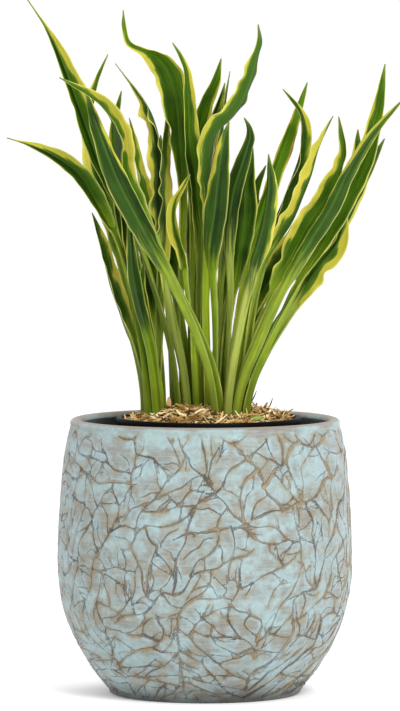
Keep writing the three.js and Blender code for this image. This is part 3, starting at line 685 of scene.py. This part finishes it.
def makeLeaf(name, number, material):
    dice = random.Random(number)
    margins, tones = leaf["margins"], leaf["tones"]
    look = {"left": dice.choice(margins), "right": dice.choice(margins), "tone": dice.uniform(*tones),
            "ruffle": 0.45, "dry": 0, "tail": 0, "slim": 0.92, **leafLooks.get(name[5:], {})}
    left, rib, right, side, up, blade, length = leafAxes(name, look)
    rows = len(rib)
    u = np.linspace(-1, 1, leaf["across"] + 1)[None, :, None]
    halfWidth = np.linalg.norm(right - left, axis=1) / 2
    alive = smoothstep(blade, *leaf["comesAlive"]) * (1 - smoothstep(blade, *leaf["calmsDown"]))
    alive = alive * np.minimum(halfWidth / leaf["liveliest"], 1)
    middle = rib[:, None] + (right - left)[:, None] / 2 * u
    fold = ((left + right) / 2 - rib)[:, None]
    trough = np.abs(u) ** leaf["channel"]
    middle = middle + fold * trough - fold * (1 - trough) * leaf["deepen"] * alive[:, None, None]
    yellow = np.zeros((rows, leaf["across"] + 1))
    widest = int(np.argmax(halfWidth))
    for sign in (-1, 1):
        here = u * sign > 0
        lively = alive * look["ruffle"] * (0.75 + 0.45 * wobble(length, 90 * mm, dice))
        ruffle = lively * wobble(length, leaf["ruffleLength"], dice) * leaf["ruffleHeight"]
        lobe = lively * wobble(length, leaf["lobeLength"], dice) * leaf["lobeReach"]
        middle = middle + here * np.abs(u) ** 3 * ruffle[:, None, None] * up[:, None]
        middle = middle + here * np.abs(u) ** 2 * lobe[:, None, None] * sign * side[:, None]
        widths = look["right" if side[widest][0] * sign > 0 else "left"]
        width = np.interp(blade, np.linspace(0, 1, len(widths)), widths)
        width = width * (1 + 0.3 * wobble(length, 30 * mm, dice)) * smoothstep(blade, 0.01, 0.12)
        width = np.minimum(width * (1 - 0.8 * smoothstep(blade, 0.8, 0.98)), 0.85 * halfWidth / mm)
        yellow += here[:, :, 0] * width[:, None]
        flare = leaf["flare"] * width * mm
        middle = middle + here * np.abs(u) ** 5 * flare[:, None, None] * up[:, None]

    normal = unit(np.cross(np.gradient(middle, axis=1), np.gradient(middle, axis=0)))
    edge = np.abs(u) ** 1.6
    thin = leaf["ribHalfThickness"] * (1 - edge) + leaf["edgeHalfThickness"] * edge
    thick = leaf["stalkHalfThickness"] * (1 - leaf["thinning"] * edge)
    solid = smoothstep(blade, 0, 0.25)[:, None, None]
    half = (thick * (1 - solid) + thin * solid) * (1 - leaf["thinning"] * blade)[:, None, None]
    half = np.minimum(half, 0.9 * halfWidth[:, None, None])
    fromRib = np.abs(u[:, :, 0]) * halfWidth[:, None]
    ribHeight = leaf["ribHeight"] * (1 - blade) * smoothstep(blade, 0, 0.1)
    swell = np.exp(-(fromRib / leaf["ribWidth"]) ** 2) * ribHeight[:, None]
    upper = middle + normal * half
    lower = middle - normal * (half + swell[:, :, None])
    leftEdge = middle[:, 0] - side * half[:, 0] * 0.8
    rightEdge = middle[:, -1] + side * half[:, -1] * 0.8

    # each ring runs over the upper face, round one margin, back below and round the other
    across = leaf["across"] + 1
    ring = np.concatenate([upper, rightEdge[:, None], lower[:, ::-1], leftEdge[:, None]], axis=1)
    around = ring.shape[1]
    faces = ringFaces(rows, around)
    for start, flip in ((0, False), ((rows - 1) * around, True)):
        caps = [(start + i, start + 2 * across - i, start + 2 * across - 1 - i, start + i + 1)
                for i in range(across - 1)]
        caps.append((start + 2 * across + 1, start + 2 * across, start))
        caps.append((start + across - 1, start + across + 1, start + across))
        faces += [cap[::-1] for cap in caps] if flip else caps

    ring = np.clip(ring, *np.array(cadBox))
    piece = newPiece("hostaLeaf_" + name[5:], ring.reshape(-1, 3), faces, material, "foliage", [name])
    ringU = np.r_[u[0, :, 0], 1, u[0, ::-1, 0], -1]
    ringYellow = np.c_[yellow, yellow[:, -1:], yellow[:, ::-1], yellow[:, :1]]
    edgeMm = (1 - np.abs(ringU)) * halfWidth[:, None] / mm
    # millimetres across and along, and a number of its own, so that no two leaves are streaked alike
    grain = np.broadcast_arrays(ringU * halfWidth[:, None] / mm, length[:, None] / mm, 37.0 * number)
    setAttribute(piece, "leafGrain", np.stack(grain, axis=-1), "FLOAT_VECTOR")
    pallor = dice.choice(leaf["pallors"])
    fields = {"Across": ringU, "Margin": ringYellow - edgeMm, "Blade": blade[:, None],
              "Under": np.r_[np.zeros(across), 0.5, np.ones(across), 0.5], "Tone": look["tone"],
              "Dry": look["dry"], "Pallor": look.get("pallor", pallor)}
    for field, values in fields.items():
        setAttribute(piece, "leaf" + field, np.broadcast_to(values, (rows, around)))


leafColours = {
    "upper": ("#132a02", "#4e760a"),  # dark and light
    "under": ("#162a08", "#385817"),
    "stalk": ("#4c6404", "#94ac24"),
    "yellow": ("#86971c", "#d6c04e"),
    "paleStalk": "#9fa850",
    "stalkRim": "#bdc56e",
    "root": "#545a0c",
    "vein": "#1c2c10",
    "rib": "#66833a",
    "paleGreen": "#64802a",
    # pale blade edge: partly a thin pale margin, partly painted highlight
    "bladeRim": "#cdcc74",
    "tip": "#71803f",
    "scorched": "#8f5a2c",
}


def leafMaterial():
    # living hosta leaf: a satin cuticle, saturated above and bluish with bloom below, streaked along its
    # veins; the margin is yellow without chlorophyll, the stalk pale, with lighter rims to its channel
    material, tree = newMaterial("hostaLeaf", {"Roughness": 0.48, "IOR": 1.45, "Specular IOR Level": 0.1})
    grain = addNode(tree, "Attribute", attribute_name="leafGrain").outputs["Vector"]
    acrossMm, alongMm, _ = addNode(tree, "SeparateXYZ", {0: grain}).outputs
    across, margin, blade, under, tone, dry, pallor = (
        addNode(tree, "Attribute", attribute_name="leaf" + field).outputs["Fac"]
        for field in ("Across", "Margin", "Blade", "Under", "Tone", "Dry", "Pallor"))

    # streaks 1 to 2 mm wide and bands about 5 mm wide run the length of the leaf, over broad patches
    drawn = addNode(tree, "VectorMath", {0: grain, 1: (1, 0.05, 1)}, operation="MULTIPLY")
    streaks, bands, patches = (
        addNode(tree, "TexNoise", {"Vector": vector, "Scale": 1 / size, "Detail": detail})
        for vector, size, detail in ((drawn, 1.5, 3), (drawn, 5, 1), (grain, 26, 2)))
    mixed = addNode(tree, "MapRange", {"Value": across, "From Min": -0.1, "From Max": 0.1, "To Max": 0.3})
    mixed = addNode(tree, "Math", {0: mixed, 1: tone})  # painted light: the blade's half on one side of the rib is lighter, as on a folded blade lit from one side
    for streak, share in ((streaks, 0.55), (patches, 0.7), (bands, 1.1)):
        mixed = addNode(tree, "Math", {0: streak, 1: share, 2: mixed}, operation="MULTIPLY_ADD")
    phase = addNode(tree, "Math", {0: across, 1: 5.5 * pi}, operation="MULTIPLY")
    wave = addNode(tree, "Math", {0: phase}, operation="SINE")
    veins, fromRib, sideways = (addNode(tree, "Math", {0: signed}, operation="ABSOLUTE")
                                for signed in (wave, acrossMm, across))
    feather = addNode(tree, "Math", {0: streaks, 1: 4, 2: margin}, operation="MULTIPLY_ADD")
    intoBlade = addNode(tree, "Math", {0: streaks, 1: 0.6, 2: blade}, operation="MULTIPLY_ADD")
    bladeMask = addNode(tree, "MapRange", {"Value": intoBlade, "From Min": 0.28, "From Max": 0.56},
                        interpolation_type="SMOOTHSTEP")

    # what each mask reads, from and to which value, and its strength at either end; lengths are in mm
    masks = {
        "light": (mixed, 1.35, 2.2, 0, 1),
        "vein": (veins, 0, 0.4, 0.42, 0),  # five pairs of veins, sunk above and raised below
        "rib": (fromRib, 0.2, 0.8, 0.2, 0),
        "stalkRim": (sideways, 0.72, 1, 0, 0.45),
        "root": (alongMm, 12, 75, 0.7, 0),  # the stalk is browner where it leaves the soil
        "paleGreen": (feather, 0.6, 2, 0, 0.5),  # between the green and the yellow
        "yellow": (feather, 2, 2.7, 0, 1),
        # a pale rim along the blade's edges, partly a thin pale margin and partly painted highlight where
        # the edges catch light
        "bladeRim": (sideways, 0.88, 1, 0, 1.2),
        "tip": (blade, 0.93, 1, 0, 0.6),
        "scorched": (patches, 0.5, 0.62, 0, 0.8),
    }
    for name, values in masks.items():
        masks[name] = addNode(tree, "MapRange", dict(enumerate(values)))
    for name, other in (("bladeRim", bladeMask), ("bladeRim", patches), ("scorched", dry),
                        ("scorched", masks["yellow"])):
        masks[name] = addNode(tree, "Math", {0: masks[name], 1: other}, operation="MULTIPLY")
    masks["paleStalk"] = pallor

    tints = {name: linear(tint) for name, tint in leafColours.items() if isinstance(tint, str)}
    for name in ("upper", "under", "stalk", "yellow"):
        dark, light = map(linear, leafColours[name])
        share = patches if name == "yellow" else masks["light"]
        tints[name] = addNode(tree, "MixRGB", {"Fac": share, "Color1": dark, "Color2": light})
    green = addNode(tree, "MixRGB", {"Fac": under, "Color1": tints["upper"], "Color2": tints["under"]})
    for name in ("vein", "rib"):
        green = addNode(tree, "MixRGB", {"Fac": masks[name], "Color1": green, "Color2": tints[name]})
    stalk = tints["stalk"]
    for name in ("paleStalk", "stalkRim", "root"):
        stalk = addNode(tree, "MixRGB", {"Fac": masks[name], "Color1": stalk, "Color2": tints[name]})
    colour = addNode(tree, "MixRGB", {"Fac": bladeMask, "Color1": stalk, "Color2": green})
    for name in ("paleGreen", "yellow", "bladeRim", "tip", "scorched"):
        colour = addNode(tree, "MixRGB", {"Fac": masks[name], "Color1": colour, "Color2": tints[name]})
    bump = addNode(tree, "Bump", {"Height": veins, "Strength": 0.45, "Distance": 0.25 * mm})
    plugShader(tree, colour, bump)
    return material


def makeLeaves():
    material = leafMaterial()
    names = sorted(n for n in cadNodes if n.startswith("leaf_"))
    for number, name in enumerate(names):
        makeLeaf(name, number, material)


makeLeaves()
print("leaves done")


nursery = {
    "columns": 128,
    "lip": 5 * mm,  # high
    "wall": 1.6 * mm,
    "round": 0.8 * mm,  # of the lip's edges
    "foot": 56 * mm,  # its radius
    "footRound": 2 * mm,
    "floor": 4 * mm,  # its thickness and the lip's rounding
    "outsideRows": 12,
    "insideRows": 6,
    "blacks": ("#070707", "#181512"),  # clean, and dusty
}


def nurseryProfile(low, high):
    # outside, lip and inside, as radius and height, from the frame's box
    lipRadius = (high.x - low.x) / 2
    wallTop = lipRadius - nursery["lip"] / 2
    underLip = high.z - nursery["lip"]
    foot, bevel, r = nursery["foot"], nursery["footRound"], nursery["round"]
    inside = wallTop - nursery["wall"]
    deep = high.z - low.z - nursery["floor"]
    profile = [(0, low.z), (foot - bevel, low.z), (foot, low.z + bevel)]
    for share in np.linspace(0, 1, nursery["outsideRows"] + 1)[1:]:
        z = low.z + bevel + (underLip - low.z - bevel) * share
        profile.append((foot + (wallTop - foot) * share, z))
    profile += [
        (lipRadius - r, underLip), (lipRadius - 0.2 * r, underLip + 0.3 * r), (lipRadius, underLip + r),
        (lipRadius, high.z - r), (lipRadius - 0.3 * r, high.z - 0.3 * r), (lipRadius - r, high.z),
        (inside + r, high.z), (inside + 0.3 * r, high.z - 0.3 * r), (inside, high.z - r),
    ]
    for share in np.linspace(0, 1, nursery["insideRows"] + 1)[1:]:
        profile.append((inside - (wallTop - foot) * share, high.z - r - deep * share))
    return profile + [(0, profile[-1][1])]


def makeNurseryPot():
    # moulded polypropylene: near black and softly shiny, with a faint grain and dusty patches
    low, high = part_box("nursery_pot")
    centre = (low.x + high.x) / 2
    verts, faces = turnedGrid(nurseryProfile(low, high), nursery["columns"])
    verts = [(x + centre, y, z) for x, y, z in verts]
    material, tree = newMaterial("mouldedPolypropylene", {
        "Roughness": 0.5, "IOR": 1.49, "Specular IOR Level": 0.08,
    })
    place = addNode(tree, "TexCoord").outputs["Object"]
    grain = addNode(tree, "TexNoise", {"Vector": place, "Scale": 0.9 / mm, "Detail": 2})  # lumps per mm
    dust = addNode(tree, "TexNoise", {"Vector": place, "Scale": 0.06 / mm, "Detail": 4})
    dustMask = addNode(tree, "MapRange", {"Value": dust, "From Min": 0.5, "From Max": 0.75, "To Max": 0.4})
    clean, dusty = map(linear, nursery["blacks"])
    colour = addNode(tree, "MixRGB", {"Fac": dustMask, "Color1": clean, "Color2": dusty})
    bump = addNode(tree, "Bump", {"Height": grain, "Strength": 0.3, "Distance": 0.1 * mm})
    plugShader(tree, colour, bump)
    newPiece("nurseryPot", verts, faces, material, "plastic", ["nursery_pot"])


makeNurseryPot()
print("nursery pot done")


mulch = {
    "shreds": 1300,
    "longest": 26 * mm,
    "widths": (0.8, 3.2),  # in millimetres, as are the next two
    "thicknesses": (0.3, 0.8),
    "lifts": (0.1, 2.6),
    "pitch": 0.3,  # radians, as is the roll
    "roll": 0.5,
    "steep": (0.16, 0.5),  # share of shreds that stand up, and by how many radians
    "bend": 0.12,  # as a share of the length
    "arch": 0.06,
    "tones": (0.6, 0.28),  # middle and spread
    # painted shade: the heap under the shreds is dark, for the shade in the gaps between them
    "heapShadeTone": 0.1,
    "reach": 67 * mm,  # how far out their middles lie
    "edge": 70 * mm,  # and their ends
    "stations": 5,
    "clearOfStalks": 4.5 * mm,
    "shades": ((0, "#2b1d0a"), (0.25, "#6a4f22"), (0.5, "#a98548"), (0.75, "#d0b073"), (1, "#ecd9ad")),
    # a dry leaf sheath and two dark twigs: foot, tip, width, thickness, tone
    "litter": (((-30.5, -4, 222), (-28, -5, 238), 4.2, 0.6, 0.6),
               ((33, 8, 226), (42, 4, 242), 1, 0.9, -0.2), ((49, 12, 224), (55, 10, 236), 0.9, 0.8, -0.2)),
    "scrap": ((40, -44), 12, 6),  # a snippet of leaf: place, length and width
    "scrapGreen": ("#5c7a16", "#93ac3c"),
    "soilBrown": ("#1f1812", "#4a3a2b"),
}


def soilMaterial():
    # moist peat potting mix: dull, dark crumbs in paler and darker patches
    material, tree = newMaterial("pottingSoil", {"Roughness": 0.95})
    place = addNode(tree, "TexCoord").outputs["Object"]
    crumbs = addNode(tree, "TexVoronoi", {"Vector": place, "Scale": 0.32 / mm})
    tint = addNode(tree, "TexNoise", {"Vector": place, "Scale": 0.14 / mm, "Detail": 4})
    dark, light = map(linear, mulch["soilBrown"])
    colour = addNode(tree, "MixRGB", {"Fac": tint, "Color1": dark, "Color2": light})
    bump = addNode(tree, "Bump", {"Height": crumbs, "Strength": 1, "Distance": 1 * mm})
    plugShader(tree, colour, bump)
    return material


def fibreMaterial():
    # shredded coir and wood: dry, dull straw, finely mottled, each strip in a shade of its own
    material, tree = newMaterial("shreddedFibre", {"Roughness": 0.85, "Specular IOR Level": 0.25})
    tone = addNode(tree, "Attribute", attribute_name="fibreTone").outputs["Fac"]
    place = addNode(tree, "TexCoord").outputs["Object"]
    mottle = addNode(tree, "TexNoise", {"Vector": place, "Scale": 0.26 / mm, "Detail": 3})
    mottle = addNode(tree, "Math", {0: mottle, 1: 0.5}, operation="SUBTRACT")
    shade = addNode(tree, "Math", {0: mottle, 1: 0.5, 2: tone}, operation="MULTIPLY_ADD")
    ramp = addNode(tree, "ValToRGB", {"Fac": shade})
    stops = ramp.color_ramp.elements
    for share, tint in mulch["shades"][1:-1]:
        stops.new(share)
    for stop, (share, tint) in zip(stops, mulch["shades"]):
        stop.color = linear(tint)
    plugShader(tree, ramp)
    return material


def snippetMaterial():
    # freshly cut leaf: still a live, satin green, paler in patches
    material, tree = newMaterial("greenLeafSnippet", {"Roughness": 0.5})
    place = addNode(tree, "TexCoord").outputs["Object"]
    patches = addNode(tree, "TexNoise", {"Vector": place, "Scale": 0.5 / mm, "Detail": 2})
    dark, light = map(linear, mulch["scrapGreen"])
    colour = addNode(tree, "MixRGB", {"Fac": patches, "Color1": dark, "Color2": light})
    plugShader(tree, colour)
    return material


def bentStrip(centre, ahead, beside, shape):
    # a closed, tapering strip: shape is its length, width, thickness, sideways bend and arch
    length, wide, thick, bend, arch = shape
    top = ahead.cross(beside)
    rows = mulch["stations"]
    verts = []
    for i in range(rows):
        t = i / (rows - 1) * 2 - 1
        taper = 1 - 0.6 * abs(t) ** 3
        point = centre + ahead * (t * length / 2) + beside * (bend * t * t) + top * (arch * (1 - t * t))
        for a, b in ((-1, -1), (1, -1), (1, 1), (-1, 1)):
            verts.append(point + beside * (a * wide / 2 * taper) + top * (b * thick / 2 * taper))
    return verts, [(3, 2, 1, 0), tuple(range(4 * rows - 4, 4 * rows))] + ringFaces(rows, 4)


def makeMulch():
    dice = random.Random(11)
    heap = cadNodes["mulch"].data
    low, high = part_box("mulch")
    centre = (low.x + high.x) / 2
    leaves = [leafLines(cadNodes[name]) for name in cadNodes if name.startswith("leaf_")]
    stalks = [splineThrough(lines[:leaf["stalkRings"], 1], np.linspace(0, 1, 60)) for lines in leaves]
    stalks = np.concatenate(stalks)
    verts = [tuple(v.co) for v in heap.vertices]
    faces = [tuple(p.vertices) for p in heap.polygons]
    surface = BVHTree.FromPolygons(verts, faces)
    # painted shade: the heap itself takes the dark tone that shows in the gaps
    tones = [mulch["heapShadeTone"]] * len(verts)

    def groundAt(x, y):
        return surface.ray_cast(Vector((x, y, high.z + 20 * mm)), Vector((0, 0, -1)))[0]

    def lay(strip, tone):
        faces.extend(tuple(len(verts) + i for i in face) for face in strip[1])
        verts.extend(tuple(v) for v in strip[0])
        tones.extend([tone] * len(strip[0]))

    made = 0
    while made < mulch["shreds"]:
        radius = mulch["reach"] * sqrt(dice.random())
        angle = dice.uniform(0, 2 * pi)
        x, y = centre + radius * cos(angle), radius * sin(angle)
        hit = groundAt(x, y)
        if hit is None:
            continue
        base = Vector((x, y, hit.z + dice.uniform(*mulch["lifts"]) * mm))
        near = np.min(np.linalg.norm(stalks - np.array(base), axis=1))
        if near < mulch["clearOfStalks"]:
            continue
        length = mulch["longest"] * (0.25 + 0.75 * dice.random() ** 1.6)  # mostly short
        length = min(length, 2 * max(near - 2 * mm, 3 * mm))
        yaw = dice.uniform(0, 2 * pi)
        share, rise = mulch["steep"]
        pitch = dice.gauss(0, mulch["pitch"]) + (rise if dice.random() < share else 0)
        ahead = Vector((cos(yaw) * cos(pitch), sin(yaw) * cos(pitch), sin(pitch)))
        fromMiddle = base - Vector((centre, 0, 0))
        if max((fromMiddle + ahead * end * length / 2).xy.length for end in (-1, 1)) > mulch["edge"]:
            continue
        flat = Vector((-sin(yaw), cos(yaw), 0))
        roll = dice.gauss(0, mulch["roll"])
        beside = flat * cos(roll) + ahead.cross(flat) * sin(roll)
        shape = (length, dice.uniform(*mulch["widths"]) * mm, dice.uniform(*mulch["thicknesses"]) * mm,
                 dice.gauss(0, mulch["bend"]) * length, dice.gauss(0, mulch["arch"]) * length)
        lay(bentStrip(base, ahead, beside, shape), min(1, max(0, dice.gauss(*mulch["tones"]))))
        made += 1
    for foot, tip, wide, thick, tone in mulch["litter"]:
        foot, tip = Vector(foot) * mm, Vector(tip) * mm
        ahead = (tip - foot).normalized()
        beside = ahead.cross(Vector((0, 1, 0))).normalized()
        shape = ((tip - foot).length, wide * mm, thick * mm, 0.8 * mm, 1.5 * mm)
        lay(bentStrip((foot + tip) / 2, ahead, beside, shape), tone)
    piece = newPiece("fibreMulch", verts, faces, fibreMaterial(), "fibre", ["mulch"])
    piece.data.polygons.foreach_set("use_smooth", [False] * len(piece.data.polygons))
    setAttribute(piece, "fibreTone", tones)

    (x, y), length, wide = mulch["scrap"]
    middle = groundAt(x * mm, y * mm) + Vector((0, 0, 4 * mm))
    ahead, beside = Vector((0.98, 0.1, 0.17)), Vector((-0.1, 0.85, 0.5))
    snippet = bentStrip(middle, ahead, beside, (length * mm, wide * mm, 0.5 * mm, 0.5 * mm, 1 * mm))
    newPiece("leafSnippet", *snippet, snippetMaterial(), "foliage")


soil = cadNodes["soil"]
soil.data.materials.clear()
soil.data.materials.append(soilMaterial())
makeMulch()
print("mulch done")
